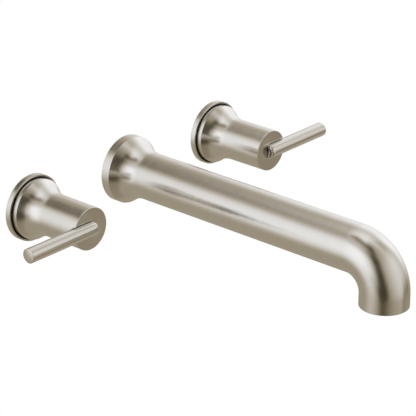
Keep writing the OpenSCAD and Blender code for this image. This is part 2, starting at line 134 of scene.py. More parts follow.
class Bench:
    """A node tree, with one method that adds a node and a few short forms of it."""

    def __init__(self, tree):
        self.tree = tree

    def node(self, kind, settings=None, sockets=None, out=0):
        made = self.tree.nodes.new(kind)
        for name, value in (settings or {}).items():
            setattr(made, name, value)
        for key, value in (sockets or {}).items():
            if isinstance(key, int):
                socket = made.inputs[key]
            else:
                socket = next(s for s in made.inputs if s.enabled and key in (s.identifier, s.name))
            if isinstance(value, Field):
                self.tree.links.new(value.socket, socket)
            else:
                socket.default_value = value
        if not made.outputs:
            return made
        if isinstance(out, int):
            return Field(self, [s for s in made.outputs if s.enabled][out])
        return Field(self, next(s for s in made.outputs if s.enabled and s.name == out))

    def math(self, operation, *values):
        return self.node("ShaderNodeMath", {"operation": operation}, dict(enumerate(values)))

    def vector(self, x=0.0, y=0.0, z=0.0):
        return self.node("ShaderNodeCombineXYZ", None, {"X": x, "Y": y, "Z": z})

    def mix(self, amount, a, b):
        """Colour a where the amount is 0 and b where it is 1."""
        return self.node("ShaderNodeMix", {"data_type": "RGBA"},
                         {"Factor_Float": amount, "A_Color": a, "B_Color": b})

    def ramp(self, value, low, high, to_low=0.0, to_high=1.0):
        """Value from low to high eased into to_low to to_high."""
        return self.node("ShaderNodeMapRange", {"interpolation_type": "SMOOTHSTEP"},
                         {"Value": value, "From Min": low, "From Max": high,
                          "To Min": to_low, "To Max": to_high}, out="Result")


print("operators ready:", [n for n in vars(Field) if n.startswith("__") and n not in vars(object)])

# %% [markdown]
# ## The studio
#
# Metal shows hardly any colour of its own: it shows the room. A product photographer
# hangs a large soft box on each side of the faucet, lets the front fade from light to
# dark, and keeps a dark flag near the left box, which draws the dark line along a tube.
# Two small cards light the rods' ends and edges. Everything below is a warm brown table.
#
# Area lamps would do, but their edges land differently on every handle. The panels are
# instead painted on the sky, by compass angle and height, each with soft borders. Their
# colour is warm where it is dim and nearly white where it is bright.
#
# The numbers in the list weren't set by hand either. A separate fitting program, which
# isn't kept with this file, worked out where each panel hangs, how large and soft it is
# and how bright, so that the metal shades as the real one does. They are rounded here.
# The names were given by hand, and a panel with a brightness below zero takes light away.

# %% List the soft panels
PANELS = {
    # name: centre and half size and border in degrees, across then up, and brightness
    "left soft box": (-97.7, 18.2, 46.6, 21, 42, 13.2, 0.59),
    "dark flag": (-58.7, 19.3, 5.7, 33, 36.8, 25.7, -1.20),
    "front scrim": (30.7, 11.5, 42.1, 36, 42, 16.8, 0.34),
    "right soft box": (104.4, 14, 27.1, 29.3, 12.1, 16.7, 0.52),
    "overhead bounce": (163.3, 89.5, 150, 24.9, 42, 42, 0.60),
    "overhead bar": (-96.1, 68.8, 60.3, 8.3, 8, 8.1, -0.47),
    "overhead shade": (58.7, 60.7, 4.2, 19.4, 33.1, 16.1, -0.41),
    "rear shade": (-178.2, 43, 11.2, 7.6, 38, 8, -0.93),
    "table bounce": (169.7, -52.4, 116.3, 45.7, 8, 33.7, 0.10),
    "low bar": (66.9, -13.9, 31.5, 4, 8, 22.1, -0.49),
    "edge card": (81, -39.1, 4, 7.5, 10.9, 11.3, 0.24),
    "tip card": (-114.6, -12, 21.1, 8.9, 20.6, 16.7, 0.52),
}
TABLE_GLOW, SKY_GLOW, DARKEST = 0.162, 0.096, 0.03
METAL_GIVES_BACK = 0.755
BRIGHT_TINT, DIM_TINT = (0.985, 1.0, 1.03, 1), (1.20, 0.985, 0.60, 1)
print("panels that add light:", sum(p[-1] > 0 for p in PANELS.values()), "of", len(PANELS))

# %% Paint them on the sky
sky = bpy.data.worlds.new("studio")
sky.use_nodes = True
sky.node_tree.nodes.clear()
bench = Bench(sky.node_tree)
ray = bench.node("ShaderNodeTexCoord", out="Generated")
split = bench.node("ShaderNodeSeparateXYZ", None, {"Vector": ray}, out="X")
compass = bench.math("ARCTAN2", split, -split.also("Y")) * (180 / math.pi)
height = bench.math("ARCSINE", split.also("Z")) * (180 / math.pi)

glow = TABLE_GLOW + SKY_GLOW * bench.ramp(height, -30, 30)
for name, (across, up, half_w, half_h, soft_w, soft_h, power) in PANELS.items():
    turn = bench.math("ABSOLUTE", bench.math("WRAP", compass - across, 180.0, -180.0))
    rise = bench.math("ABSOLUTE", height - up)
    glow = glow + (power * bench.ramp(turn, half_w + soft_w, half_w - soft_w)
                   * bench.ramp(rise, half_h + soft_h, half_h - soft_h))
glow = bench.math("MAXIMUM", glow, DARKEST)
dimness = bench.math("MULTIPLY", *[bench.math("MAXIMUM", (0.9 - glow) / 0.8, 0.0)] * 2)
tint = bench.mix(dimness, BRIGHT_TINT, DIM_TINT)
light = bench.node("ShaderNodeBackground", None, {"Color": tint, "Strength": glow / METAL_GIVES_BACK})
bench.node("ShaderNodeOutputWorld", None, {"Surface": light})
bpy.context.scene.world = sky
print("panels hung:", ", ".join(PANELS))

# %% [markdown]
# ## The floor
#
# A faucet on a wall hangs well above the floor, so its shadow never reaches the picture.
# A plain sheet of white paper is turned up into a wide bowl that stands behind
# everything from any side. It is lit evenly, and it is kept out of the reflections,
# because the room's panels already stand there. Its back is clear, so that a viewer
# below the floor still sees the faucet's underside.

# %% Roll out the paper floor
FLOOR_DEPTH = 0.9


def paper(name):
    finish = bpy.data.materials.new(name)
    finish.use_nodes = True
    finish.node_tree.nodes.clear()
    b = Bench(finish.node_tree)
    white = b.node("ShaderNodeEmission", None, {"Color": (1, 1, 1, 1), "Strength": 1.0})
    clear = b.node("ShaderNodeBsdfTransparent")
    back = b.node("ShaderNodeNewGeometry", out="Backfacing")
    both = b.node("ShaderNodeMixShader", None, {"Fac": back, 1: white, 2: clear})
    b.node("ShaderNodeOutputMaterial", None, {"Surface": both})
    return finish


def floor_bowl(depth, flat=5.0, bend=3.0, wall=5.0, sides=64, steps=10):
    rings = [(0.0, depth), (flat, depth)]
    for i in range(1, steps + 1):
        a = math.radians(90 * i / steps)
        rings.append((flat + bend * math.sin(a), depth + bend * (1 - math.cos(a))))
    rings += [(flat + bend, depth + bend + wall), (0.0, depth + bend + wall + 1)]
    mesh = bmesh.new()
    rows = [[mesh.verts.new((r * math.cos(t), r * math.sin(t), z))
             for t in (2 * math.pi * k / sides for k in range(sides))] for r, z in rings]
    for low, high in zip(rows, rows[1:]):
        for k in range(sides):
            n = (k + 1) % sides
            mesh.faces.new((low[k], low[n], high[n], high[k]))
    bmesh.ops.remove_doubles(mesh, verts=mesh.verts, dist=1e-5)
    bmesh.ops.recalc_face_normals(mesh, faces=mesh.faces)
    bmesh.ops.reverse_faces(mesh, faces=mesh.faces)
    data = bpy.data.meshes.new("floor")
    mesh.to_mesh(data)
    mesh.free()
    return bpy.data.objects.new("floor", data)


floor = floor_bowl(-FLOOR_DEPTH)
floor.data.materials.append(paper("paper"))
floor.visible_glossy = floor.visible_diffuse = floor.visible_shadow = False
bpy.context.collection.objects.link(floor)
print("floor below the spout in m:", FLOOR_DEPTH)

# %% [markdown]
# ## Brushed nickel
#
# Plated brass is brushed while it turns, so the fine scratches run round each piece:
# round the tube of the spout, round the barrel, and in rings on its face. They are
# finer than a hair. Each one tips the light a little, so a reflection spreads along
# the tube, and here and there a pass of the belt leaves a band a shade duller. The rods
# are polished a little finer.
#
# A picture of scratches would need unwrapping. A noise field that is squeezed along the
# piece and nearly constant round it gives the same rings and never shows a seam: it is
# read at distance along the piece, distance from the axis, and a slow walk round it.

# %% Start a finish and feed its shader
def blank(name, colour, roughness, metallic=0.0):
    """A material with one Principled shader, ready for its varying inputs."""
    finish = bpy.data.materials.new(name)
    finish.use_nodes = True
    finish.node_tree.nodes.clear()
    b = Bench(finish.node_tree)
    shader = b.node("ShaderNodeBsdfPrincipled", None,
                    {"Base Color": (*colour, 1), "Roughness": roughness, "Metallic": metallic})
    b.node("ShaderNodeOutputMaterial", None, {"Surface": shader})
    return finish, b, shader.socket.node


def feed(b, shader, **fields):
    """Links varying fields to the shader: colour, roughness and a height for the bump."""
    if "colour" in fields:
        b.tree.links.new(fields["colour"].socket, shader.inputs["Base Color"])
    if "roughness" in fields:
        b.tree.links.new(fields["roughness"].socket, shader.inputs["Roughness"])
    if "height" in fields:
        bump = b.node("ShaderNodeBump", None, {"Height": fields["height"], "Strength": 1.0,
                                               "Distance": fields.get("depth", 1e-5)})
        b.tree.links.new(bump.socket, shader.inputs["Normal"])


print("a finish varies its:", "Base Color, Roughness, Normal")


# %% Find the way round a piece
def round_axis(b, axis, centre):
    """Distance along an axis, distance from it, and the two shares of the way round."""
    at = b.node("ShaderNodeTexCoord", out="Object")
    local = b.node("ShaderNodeMapping", None, {"Vector": at, "Location": [-c for c in centre]})
    x = b.node("ShaderNodeSeparateXYZ", None, {"Vector": local}, out="X")
    part = {"X": x, "Y": x.also("Y"), "Z": x.also("Z")}
    along = part.pop(axis)
    u, v = part.values()
    away = b.math("SQRT", u * u + v * v + 1e-10)
    return along, away, u / away, v / away


def follow_grain(b):
    """The same four numbers where the piece carries them in its own attribute."""
    grain = b.node("ShaderNodeAttribute", {"attribute_name": "grain"}, out="Vector")
    x = b.node("ShaderNodeSeparateXYZ", None, {"Vector": grain}, out="X")
    return x, 0.0, x.also("Y"), x.also("Z")


HANDLE_X = {"hot": -0.1016, "cold": 0.1016}
LEVER_Y = -0.0626
print("handle axes at mm:", [round(x * 1000, 1) for x in HANDLE_X.values()])

# %% Finish: brushed nickel
NICKEL = (0.80, 0.783, 0.755)
DULLER, BRIGHTER = [(*[c * k for c in NICKEL], 1) for k in (0.955, 1.045)]


def brushed_nickel(name, track, satin=0.15):
    finish, b, shader = blank(name, NICKEL, satin, 1.0)
    along, away, c, s = track(b)

    def rings(per_metre, walk, detail, rough=0.55):
        spot = b.vector(along * per_metre, away * per_metre, c * walk)
        return b.node("ShaderNodeTexNoise", {"noise_dimensions": "4D"},
                      {"Vector": spot, "W": s * walk, "Scale": 1.0, "Detail": detail,
                       "Roughness": rough}, out="Fac")

    scratches = rings(2600.0, 1.4, 3.0, 0.7)
    passes = rings(260.0, 0.5, 2.0)
    patches = rings(24.0, 0.8, 2.0)
    feed(b, shader, colour=b.mix(passes * 0.5 + patches * 0.5, DULLER, BRIGHTER),
         roughness=satin + 0.05 * passes + 0.035 * patches + 0.03 * scratches,
         height=scratches + passes * 0.8, depth=4.5e-5)
    return finish


def about(side):
    return lambda b: round_axis(b, "Y", (HANDLE_X[side], 0, 0))


nickel_turned = {side: brushed_nickel(f"nickel_turned_{side}", about(side)) for side in HANDLE_X}
nickel_rod = brushed_nickel("nickel_rod", lambda b: round_axis(b, "X", (0, LEVER_Y, 0)), satin=0.08)
nickel_spout = brushed_nickel("nickel_spout", follow_grain)
print("nickel finishes:", [m.name for m in (*nickel_turned.values(), nickel_rod, nickel_spout)])

# %% [markdown]
# ## The hidden metals
#
# The valve, the hub and the spout's adapter are plain machined brass: yellow, with
# the lathe's fine rings, and dulled in patches where fingers and water have been.
# Screws, the clip and the screen are stainless steel, a cooler grey. Each is a
# colour, a ring pattern round its own axis, and a cloud that varies the gloss.

# %% Finish: turned brass and stainless steel
def machined(name, track, colour, dull, roughness, per_metre=1800.0):
    finish, b, shader = blank(name, colour, roughness, 1.0)
    along, away, c, s = track(b)
    spot = b.vector(along * per_metre, away * per_metre, c * 0.8)
    rings = b.node("ShaderNodeTexNoise", {"noise_dimensions": "4D"},
                   {"Vector": spot, "W": s * 0.8, "Scale": 1.0, "Detail": 2.0}, out="Fac")
    at = b.node("ShaderNodeTexCoord", out="Object")
    cloud = b.node("ShaderNodeTexNoise", None, {"Vector": at, "Scale": 190.0, "Detail": 4.0}, out="Fac")
    stain = b.ramp(cloud, 0.42, 0.68)
    feed(b, shader, colour=b.mix(stain, (*colour, 1), (*dull, 1)),
         roughness=roughness + 0.16 * stain + 0.08 * rings, height=rings, depth=1.6e-5)
    return finish


def spout_axis(b):
    return round_axis(b, "Y", (0, 0, 0))


def outlet_axis(b):
    return round_axis(b, "Z", (0, OUTLET_Y, 0))


OUTLET_Y = -0.2535
BRASS, BRASS_DULL = (0.78, 0.56, 0.27), (0.60, 0.40, 0.19)
STEEL, STEEL_DULL = (0.62, 0.62, 0.62), (0.50, 0.50, 0.51)
brass = {side: machined(f"brass_{side}", about(side), BRASS, BRASS_DULL, 0.28) for side in HANDLE_X}
brass["spout"] = machined("brass_spout", spout_axis, BRASS, BRASS_DULL, 0.28)
steel = {side: machined(f"steel_{side}", about(side), STEEL, STEEL_DULL, 0.3) for side in HANDLE_X}
steel["spout"] = machined("steel_spout", spout_axis, STEEL, STEEL_DULL, 0.3)
steel["outlet"] = machined("steel_outlet", outlet_axis, STEEL, STEEL_DULL, 0.3)
print("machined finishes:", len(brass) + len(steel))

# %% [markdown]
# ## Rubber, foam, plastic and ceramic
#
# O-rings are moulded rubber, nearly black with a satin skin. The wall gaskets are
# closed-cell foam with open pores on the cut face. The glide ring and the outlet's
# carrier are moulded plastic with a fine spark-eroded grain. The two discs are lapped
# ceramic, white and so smooth that they wring together. A Voronoi field gives pores,
# a noise field gives the moulded grain.

# %% Finish: the plain materials
def moulded(name, colour, roughness, scale, depth, pores=False, sheen=0.03):
    finish, b, shader = blank(name, colour, roughness)
    at = b.node("ShaderNodeTexCoord", out="Object")
    if pores:
        grain = b.node("ShaderNodeTexVoronoi", None, {"Vector": at, "Scale": scale}, out="Distance")
    else:
        grain = b.node("ShaderNodeTexNoise", None, {"Vector": at, "Scale": scale, "Detail": 3.0}, out="Fac")
    cloud = b.node("ShaderNodeTexNoise", None, {"Vector": at, "Scale": 90.0, "Detail": 3.0}, out="Fac")
    light_tone = [min(1.0, c * 1.12 + 0.004) for c in colour]
    dark_tone = [c * 0.88 for c in colour]
    feed(b, shader, colour=b.mix(cloud * 0.6 + grain * 0.4, (*dark_tone, 1), (*light_tone, 1)),
         roughness=roughness - 0.05 + 0.1 * cloud + sheen * grain, height=grain, depth=depth)
    return finish


rubber = moulded("rubber", (0.022, 0.022, 0.023), 0.5, 1500.0, 1e-5)
foam = moulded("foam", (0.035, 0.035, 0.036), 0.85, 1900.0, 1.2e-4, pores=True)
black_plastic = moulded("black_plastic", (0.016, 0.016, 0.017), 0.45, 2600.0, 1.2e-5)
white_plastic = moulded("white_plastic", (0.80, 0.80, 0.78), 0.38, 2200.0, 8e-6)
ceramic = moulded("ceramic", (0.86, 0.86, 0.84), 0.14, 1200.0, 1.5e-6)
print("plain finishes:", [m.name for m in (rubber, foam, black_plastic, white_plastic, ceramic)])

# %% [markdown]
# ## Dress the pieces that keep their mesh
#
# The record names a material for every piece. A small table turns that name and the
# piece's side into a finish, so that nothing is missed and no piece is left plain.

# %% Give every carried-over piece its finish
def side_of(name):
    return name.split("_")[0] if name.split("_")[0] in HANDLE_X else "spout"


SLOT_OF = {p["node"]: p["material_slot"] for p in frame["record"]["subparts"]}
PLAIN = {"black_rubber": rubber, "black_foam": foam, "black_plastic": black_plastic,
         "white_plastic": white_plastic, "ceramic": ceramic}
for name, part in parts.items():
    side, slot = side_of(name), SLOT_OF[name]
    if slot == "brass":
        finish = brass[side]
    elif slot == "stainless":
        finish = steel["outlet" if name == "outlet_screen" else side]
    elif slot == "brushed_nickel":
        finish = nickel_spout if side == "spout" else nickel_turned[side]
        finish = nickel_rod if name.endswith("lever") else finish
    else:
        finish = PLAIN[slot]
    for place in part.material_slots:
        place.material = finish
print("dressed:", len(parts))

# %% [markdown]
# ## Rounded corners on a profile
#
# A turned piece is one line, its profile, spun round an axis. No real edge is sharp:
# plating and brushing leave a small radius, and that radius is what catches the
# bright line along a rim. `rounded` walks a list of corners and replaces each one that
# has a radius by a short arc. It also puts a point close beside each corner, so that
# smooth shading bends the light only at the edge and leaves the long faces flat.

# %% Draw profiles
def rounded(corners, closed=True, steps=4, hold=0.25):
    """Corners (a, b, radius) in mm become points with arcs and holding points."""
    points = []
    count = len(corners)
    for i, (a, b, radius) in enumerate(corners):
        here = Vector((a, b))
        ends = not closed and i in (0, count - 1)
        before = Vector(corners[i - 1][:2])
        after = Vector(corners[(i + 1) % count][:2])
        if ends or radius is None:
            points.append(here)
            continue
        back, ahead = (before - here), (after - here)
        half = back.angle(ahead) / 2
        cut = min(radius / math.tan(half), back.length * 0.45, ahead.length * 0.45) if radius else 0.0
        start, end = here + back.normalized() * cut, here + ahead.normalized() * cut
        if back.length > 4 * cut + 3 * hold:
            points.append(here + back.normalized() * (cut + hold))
        if radius:
            middle = here + (back.normalized() + ahead.normalized()).normalized() * (cut / math.cos(half))
            spin_from, spin_to = start - middle, end - middle
            sweep = spin_from.angle_signed(spin_to)
            for k in range(steps + 1):
                arm = spin_from.copy()
                arm.rotate(Matrix.Rotation(-sweep * k / steps, 2))
                points.append(middle + arm)
        else:
            points.append(here)
        if ahead.length > 4 * cut + 3 * hold:
            points.append(here + ahead.normalized() * (cut + hold))
    return [tuple(p) for p in points]


def flare(tube, ends_at, curve, angle, grow=0.0, steps=40):
    """Corners of the concave curve that runs from a rim into its tube: distance, radius."""
    turns = [math.radians(angle * (1 - i / steps)) for i in range(steps + 1)]
    return [(ends_at - (curve + grow) * math.sin(t), tube + curve - (curve + grow) * math.cos(t), None)
            for t in turns]


def flare_ends(rim, rim_at, tube, curve, angle):
    t = math.radians(angle)
    return rim_at + (rim - tube - curve * (1 - math.cos(t))) / math.tan(t) + curve * math.sin(t)


print("a rounded square has", len(rounded([(0, 0, 1), (9, 0, 1), (9, 9, 1), (0, 9, 1)])), "points")

# %% [markdown]
# ## One node tree for everything turned and bent
#
# A lathe follows a rule, and so does a tube bender: the shape is a profile, an axis,
# and for the spout a place where the axis starts to bend. That rule is written once as
# a Geometry Nodes tree. The profile arrives as a chain of edges whose x is the distance
# along the axis and whose y is the radius. The tree sweeps it round a circle, then sets
# every point anew: along the straight run, round the bend, and down the outlet.
#
# The tree also writes `grain`, the distance along the piece and the two shares of the
# way round, which is what the brushed finish reads. Every tree here starts with its named
# sizes and ends by making real faces and painting them.

# %% Start and end a tree
def new_tree(name, *inputs):
    tree = bpy.data.node_groups.new(name, "GeometryNodeTree")
    tree.is_modifier = True
    tree.interface.new_socket("Geometry", in_out="INPUT", socket_type="NodeSocketGeometry")
    for label, kind in (*inputs, ("Finish", "Material")):
        tree.interface.new_socket(label, in_out="INPUT", socket_type=f"NodeSocket{kind}")
    tree.interface.new_socket("Geometry", in_out="OUTPUT", socket_type="NodeSocketGeometry")
    b = Bench(tree)
    return tree, b, b.node("NodeGroupInput", out="Geometry")


def end_tree(b, geometry, given):
    real = b.node("GeometryNodeRealizeInstances", None, {"Geometry": geometry})
    coated = b.node("GeometryNodeSetMaterial", None, {"Geometry": real, "Material": given.also("Finish")})
    b.node("NodeGroupOutput", None, {"Geometry": coated})


print("a tree's last nodes:", "Realize Instances, Set Material")


# %% Build the turning tree
def turning_tree():
    tree, b, given = new_tree("turn_and_bend", ("Sides", "Int"), ("Straight Run", "Float"),
                              ("Bend Radius", "Float"))
    run, bend = given.also("Straight Run"), given.also("Bend Radius")

    line = b.node("GeometryNodeMeshToCurve", None, {"Mesh": given})
    where = b.node("GeometryNodeInputPosition")
    capture = tree.nodes.new("GeometryNodeCaptureAttribute")
    capture.capture_items.new("VECTOR", "profile")
    tree.links.new(line.socket, capture.inputs[0])
    tree.links.new(where.socket, capture.inputs[1])
    circle = b.node("GeometryNodeCurvePrimitiveCircle", {"mode": "RADIUS"},
                    {"Resolution": given.also("Sides"), "Radius": 1.0})
    spin = tree.nodes.new("GeometryNodeCaptureAttribute")
    spin.capture_items.new("VECTOR", "spoke")
    tree.links.new(circle.socket, spin.inputs[0])
    tree.links.new(where.socket, spin.inputs[1])
    skin = b.node("GeometryNodeCurveToMesh", None,
                  {"Curve": Field(b, spin.outputs[0]), "Profile Curve": Field(b, capture.outputs[0])})

    s = b.node("ShaderNodeSeparateXYZ", None, {"Vector": Field(b, capture.outputs[1])}, out="X")
    r = s.also("Y")
    c = b.node("ShaderNodeSeparateXYZ", None, {"Vector": Field(b, spin.outputs[1])}, out="X")
    n = c.also("Y")
    angle = b.math("MINIMUM", b.math("MAXIMUM", (s - run) / bend, 0.0), math.pi / 2)
    below = b.math("MAXIMUM", s - run - bend * (math.pi / 2), 0.0)
    sine, cosine = b.math("SINE", angle), b.math("COSINE", angle)
    out = -(b.math("MINIMUM", s, run) + bend * sine) - r * n * sine
    down = bend * (cosine - 1.0) - below + r * n * cosine
    placed = b.node("GeometryNodeSetPosition", None,
                    {"Geometry": skin, "Position": b.vector(r * c, out, down)})
    grain = b.node("GeometryNodeStoreNamedAttribute", {"data_type": "FLOAT_VECTOR", "domain": "POINT"},
                   {"Geometry": placed, "Name": "grain", "Value": b.vector(s, c, n)})
    sealed = b.node("GeometryNodeMergeByDistance", None, {"Geometry": grain, "Distance": 1e-6})
    end_tree(b, sealed, given)
    return tree


TURNING = turning_tree()
print("inputs of the turning tree:", [i.name for i in TURNING.interface.items_tree if i.in_out == "INPUT"])

# %% [markdown]
# ## From a tree to a plain mesh
#
# A modifier's inputs are set by their identifiers before the object is first looked at.
# The result is then copied to a plain mesh, its faces are pointed outwards, and
# edges sharper than a fillet's step stay crisp. A finished piece sits at the origin with
# its place in its points, as the engineering pieces do.

# %% Bake a modifier and tidy the result
def set_inputs(modifier, **values):
    for item in modifier.node_group.interface.items_tree:
        key = item.name.replace(" ", "_").lower()
        if item.in_out == "INPUT" and key in values:
            modifier[item.identifier] = values[key]


def settle(thing, name, place=None, crisp=38.0, outward=True):
    """Evaluates an object's modifiers and returns a plain, linked object."""
    graph = bpy.context.evaluated_depsgraph_get()
    data = bpy.data.meshes.new_from_object(thing.evaluated_get(graph))
    if place is not None:
        data.transform(place)
    mesh = bmesh.new()
    mesh.from_mesh(data)
    bmesh.ops.remove_doubles(mesh, verts=mesh.verts, dist=2e-7)
    bmesh.ops.dissolve_degenerate(mesh, edges=mesh.edges, dist=1e-7)
    if outward:
        bmesh.ops.recalc_face_normals(mesh, faces=mesh.faces)
    for f in mesh.faces:
        f.smooth = True
    mesh.to_mesh(data)
    open_edges = sum(not e.is_manifold for e in mesh.edges)
    mesh.free()
    data.set_sharp_from_angle(angle=math.radians(crisp))
    bpy.data.objects.remove(thing)
    made = bpy.data.objects.new(name, data)
    data.name = name
    bpy.context.collection.objects.link(made)
    print(f"{name}: {len(data.polygons)} faces, {open_edges} open edges")
    return made


def profile_object(points, closed):
    data = bpy.data.meshes.new("profile")
    edges = [(i, i + 1) for i in range(len(points) - 1)] + ([(len(points) - 1, 0)] if closed else [])
    data.from_pydata([(a / 1000, b / 1000, 0) for a, b in points], edges, [])
    thing = bpy.data.objects.new("profile", data)
    bpy.context.collection.objects.link(thing)
    return thing


def turned(name, corners, finish, closed=True, place=None, sides=160, run=10.0, bend=0.01,
           steps=4, crisp=38.0):
    thing = profile_object(rounded(corners, closed, steps), closed)
    lathe = thing.modifiers.new("lathe", "NODES")
    lathe.node_group = TURNING
    set_inputs(lathe, sides=sides, straight_run=run, bend_radius=bend, finish=finish)
    return settle(thing, name, place, crisp)


# %% [markdown]
# ## The spout
#
# The spout starts as a brass tube. Its flange, a turned cone with a straight rim, is
# brazed on and brushed over until the seam is gone. The tube is bent down a quarter turn
# at its end and cut square.
#
# It could be modelled as a swept circle with a separate cone, but then the brushed
# bands would break at the joint. As one profile in the turning tree, flange, tube,
# bend and outlet share one skin and one grain. Points are added along the bend, about
# one every two degrees, so that the curve stays round.
#
# The flare differs from the engineering model. There it has a radius of 17.3 mm at 33.1
# degrees and ends 25.1 mm from the wall. Here it is drawn longer, which moves its surface
# by up to 0.43 mm, because its highlights then come out softer. The recess behind it ends
# at 10 mm in place of 11.

# %% Turn and bend the spout
REACH, TUBE, WALL, BEND, DROP = 271.9, 18.4, 2.2, 26.8, 36.1
FLANGE, FLANGE_RIM, FLARE_ANGLE, FLARE_CURVE = 26.5, 7.5, 34.0, 28.0
RUN = REACH - TUBE - BEND
LENGTH = RUN + BEND * math.pi / 2 + DROP - BEND
FLARE_END = flare_ends(FLANGE, FLANGE_RIM, TUBE, FLARE_CURVE, FLARE_ANGLE)


def stations(start, stop, step):
    count = max(1, round(abs(stop - start) / step))
    return [start + (stop - start) * i / count for i in range(1, count)]


path = ([FLARE_END + 1.5] + stations(FLARE_END + 1.5, RUN, 12.0) + [RUN]
        + stations(RUN, RUN + BEND * math.pi / 2, 0.95) + [RUN + BEND * math.pi / 2]
        + stations(RUN + BEND * math.pi / 2, LENGTH, 2.4))
outside = [(0, FLANGE, 0.2), (FLANGE_RIM, FLANGE, 0.12)]
outside += flare(TUBE, FLARE_END, FLARE_CURVE, FLARE_ANGLE)
outside += [(s, TUBE, None) for s in path] + [(LENGTH, TUBE, 0.3)]
inside = [(LENGTH, TUBE - WALL, 0.25)] + [(s, TUBE - WALL, None) for s in reversed(path)]
inside += flare(TUBE, FLARE_END, FLARE_CURVE, FLARE_ANGLE, WALL)[::-1]
inside += [(10, 21.6, 0), (2, 21.6, 0), (2, 23.6, 0), (0, 23.6, 0)]
spout = turned("spout_shell", outside + inside, nickel_spout, run=RUN / 1000, bend=BEND / 1000)
print("flare ends at mm:", round(FLARE_END, 2), "length of the path in mm:", round(LENGTH, 1))

# %% [markdown]
# Under the spout, close to the wall, a hole lets a key reach the fixing screw. It is
# drilled with a Boolean cut, which keeps the rest of the skin untouched.

# %% Drill the fixing screw's hole
def pin(name, radius, start, end, sides=48):
    """A closed round pin between two points, in mm."""
    a, b = Vector(start) / 1000, Vector(end) / 1000
    mesh = bmesh.new()
    bmesh.ops.create_cone(mesh, cap_ends=True, segments=sides, radius1=radius / 1000,
                          radius2=radius / 1000, depth=(b - a).length)
    turn = (b - a).to_track_quat("Z", "Y").to_matrix().to_4x4()
    mesh.transform(Matrix.Translation((a + b) / 2) @ turn)
    data = bpy.data.meshes.new(name)
    mesh.to_mesh(data)
    mesh.free()
    thing = bpy.data.objects.new(name, data)
    bpy.context.collection.objects.link(thing)
    return thing


def cut(piece, *tools, operation="DIFFERENCE", crisp=38.0):
    """Applies Boolean cuts one after the other and returns the new plain piece."""
    name = piece.name
    for i, tool in enumerate(tools):
        step = piece.modifiers.new(f"cut{i}", "BOOLEAN")
        step.operation, step.solver, step.object = operation, "EXACT", tool
    result = settle(piece, name, crisp=crisp, outward=False)
    for tool in tools:
        bpy.data.objects.remove(tool)
    return result


spout = cut(spout, pin("drill", 2.55, (0, -29, -8), (0, -29, -30)))
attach(spout, "fixed")
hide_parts("spout_flange", "spout_tube")

# %% [markdown]
# ## The comb and the screen in the outlet
#
# Inside the mouth a white plastic honeycomb lays the stream straight, and above it a
# square steel screen catches grit. Both are a field of equal openings in a round rim, so
# each is a small Geometry Nodes tree: one opening's wall or one wire is made once, set
# at every place that a rule gives, and the places outside the rim are dropped.
#
# The comb's cell wall is a six-sided tube. Rows are shifted by half a pitch, so the
# index of a cell gives its row and column, and those give its place. The screen is two
# rows of bent wires: each wire's height is a sine of the distance along it, half a
# wave apart from its neighbour's, which is what over and under weaving means.

# %% Build the comb's tree
def comb_tree():
    tree, b, given = new_tree("comb", ("Pitch", "Float"), ("Depth", "Float"), ("Wall", "Float"),
                              ("Reach", "Float"), ("Columns", "Int"))
    pitch, count, wall = given.also("Pitch"), given.also("Columns"), given.also("Wall")
    places = b.node("GeometryNodeMeshLine", {"mode": "OFFSET"},
                    {"Count": b.math("MULTIPLY", count, count), "Offset": (0, 0, 0)})
    index = b.node("GeometryNodeInputIndex")
    row = b.math("FLOOR", (index + 0.5) / count)
    column = index - row * count
    middle = (count - 1.0) / 2.0
    odd = b.math("FLOORED_MODULO", row, 2.0)
    x = (column - middle + odd * 0.5 - 0.25) * pitch
    y = (row - b.math("FLOOR", middle)) * pitch * (math.sqrt(3) / 2)
    set_out = b.node("GeometryNodeSetPosition", None, {"Geometry": places, "Position": b.vector(x, y)})
    far = b.math("GREATER_THAN", b.math("SQRT", x * x + y * y), given.also("Reach"))
    inside = b.node("GeometryNodeDeleteGeometry", {"domain": "POINT"},
                    {"Geometry": set_out, "Selection": far})
    rim = b.node("GeometryNodeCurvePrimitiveCircle", {"mode": "RADIUS"},
                 {"Resolution": 6, "Radius": (pitch - wall * 1.04) * (0.5 / math.cos(math.pi / 6))})
    upright = b.node("GeometryNodeTransform", None, {"Geometry": rim, "Rotation": (0, 0, math.pi / 6)})
    section = b.node("GeometryNodeCurvePrimitiveQuadrilateral", {"mode": "RECTANGLE"},
                     {"Width": wall, "Height": given.also("Depth")})
    cell = b.node("GeometryNodeCurveToMesh", None, {"Curve": upright, "Profile Curve": section})
    cells = b.node("GeometryNodeInstanceOnPoints", None, {"Points": inside, "Instance": cell})
    end_tree(b, cells, given)
    return tree


COMB = comb_tree()
print("inputs of the comb's tree:", [i.name for i in COMB.interface.items_tree if i.in_out == "INPUT"])


# %% Grow a tree and join it with its rim
def grown(name, tree, material, place, **values):
    """Runs a tree that needs no input shape, and returns the plain piece."""
    seed = bpy.data.objects.new("seed", bpy.data.meshes.new("seed"))
    bpy.context.collection.objects.link(seed)
    growth = seed.modifiers.new("growth", "NODES")
    growth.node_group = tree
    set_inputs(growth, finish=material, **values)
    return settle(seed, name, place, outward=False)


def rim_ring(name, outer, inner, low, high, material, place):
    """The round rim that carries a field of openings, from a square profile in mm."""
    profile = [(low, inner, 0.1), (low, outer, 0.15), (high, outer, 0.15), (high, inner, 0.1)]
    return turned(name, profile, material, place=place, sides=96, steps=3)


